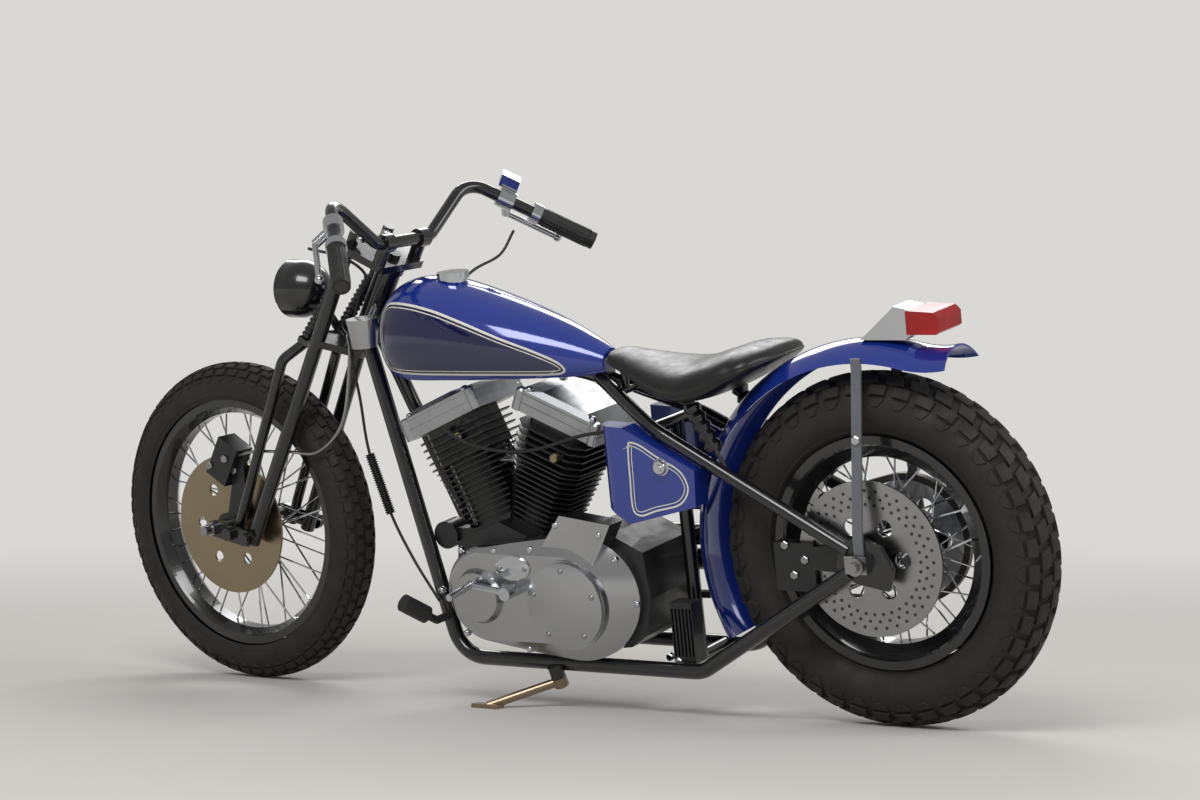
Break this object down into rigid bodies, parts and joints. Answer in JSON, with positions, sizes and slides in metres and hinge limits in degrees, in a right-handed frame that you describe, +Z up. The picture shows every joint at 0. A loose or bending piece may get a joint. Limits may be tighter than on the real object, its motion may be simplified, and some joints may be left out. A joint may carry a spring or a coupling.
{
  "type": "chopper motorcycle",
  "caption": "Hardtail bobber-style chopper motorcycle with springer fork, V-twin engine, wire wheels, sprung saddle and bobbed rear fender, leaning on its side stand.",
  "frame": {"origin": "centre of the bounding box in X and Y, on the floor plane", "axes": "+X forward along the motorcycle, +Y to its left, +Z up; the machine leans left on its side stand"},
  "size_m": [2.2056, 0.7868, 1.0656],
  "materials": {
    "black_paint": "gloss",
    "blue_paint": "gloss",
    "grey_paint": "satin",
    "tyre": "matte",
    "steel": "satin",
    "chrome": "polished",
    "aluminium": "polished",
    "rubber": "matte",
    "leather": "satin",
    "lamp_glass": "clear",
    "red_glass": "clear",
    "cable": "satin"
  },
  "bodies": {
    "rear_wheel": {"rear_tyre": "tyre", "rear_rim": "black_paint", "rear_hub": "chrome", "rear_disc": "steel", "rear_sprocket": "aluminium"},
    "front_wheel": {"front_tyre": "tyre", "front_rim": "black_paint", "front_hub": "chrome", "front_disc": "steel"},
    "frame": {"steering_head": "black_paint", "axle_plates": "black_paint", "backbone": "black_paint", "downtubes": "black_paint", "upper_stays": "black_paint", "seat_post": "black_paint", "rear_axle": "steel", "rear_fender": "blue_paint", "fender_stays": "grey_paint", "tail_lamp": "chrome", "tail_lens": "red_glass", "rear_caliper": "black_paint", "side_boxes": "blue_paint", "fuel_tank": "blue_paint", "fuel_cap": "chrome", "seat": "leather", "seat_springs": "black_paint", "crankcase": "black_paint", "cylinders": "black_paint", "cylinder_heads": "black_paint", "rocker_covers": "aluminium", "primary_cover": "aluminium", "derby_cover": "aluminium", "cam_cover": "aluminium", "pushrod_tubes": "chrome", "carburettor": "aluminium", "air_cleaner": "chrome", "oil_filter": "black_paint", "exhaust_pipes": "black_paint", "drive_chain": "steel", "foot_pegs": "rubber", "shift_lever": "chrome", "brake_pedal": "chrome", "regulator": "black_paint", "gauge": "aluminium", "spark_leads": "cable"},
    "steering": {"fork_yokes": "black_paint", "rigid_legs": "black_paint", "spring_legs": "black_paint", "fork_springs": "black_paint", "rockers": "black_paint", "front_axle": "steel", "front_caliper": "black_paint", "headlamp": "black_paint", "headlamp_glass": "lamp_glass", "handlebar": "black_paint", "grips": "rubber", "hand_controls": "chrome"},
    "side_stand": {"side_stand": "steel"}
  },
  "joints": [
    {"name": "steering", "type": "hinge", "parent": "frame", "child": "steering", "pos_m": [0.35122, -0.03209, 0.80135], "axis": [-0.5, 0.1578, 0.8515], "range_deg": [-24.1, 35.9]},
    {"name": "front_wheel_spin", "type": "hinge", "parent": "steering", "child": "front_wheel", "pos_m": [0.76563, -0.13099, 0.33652], "axis": [0.089, 0.9874, -0.1307], "continuous": true},
    {"name": "rear_wheel_spin", "type": "hinge", "parent": "frame", "child": "rear_wheel", "pos_m": [-0.76578, -0.11863, 0.33439], "axis": [0, 0.9833, -0.1822], "continuous": true},
    {"name": "side_stand_fold", "type": "hinge", "parent": "frame", "child": "side_stand", "pos_m": [-0.07178, -0.05503, 0.05199], "axis": [0.0708, 0.4576, 0.8863], "range_deg": [0, 128.57]}
  ]
}
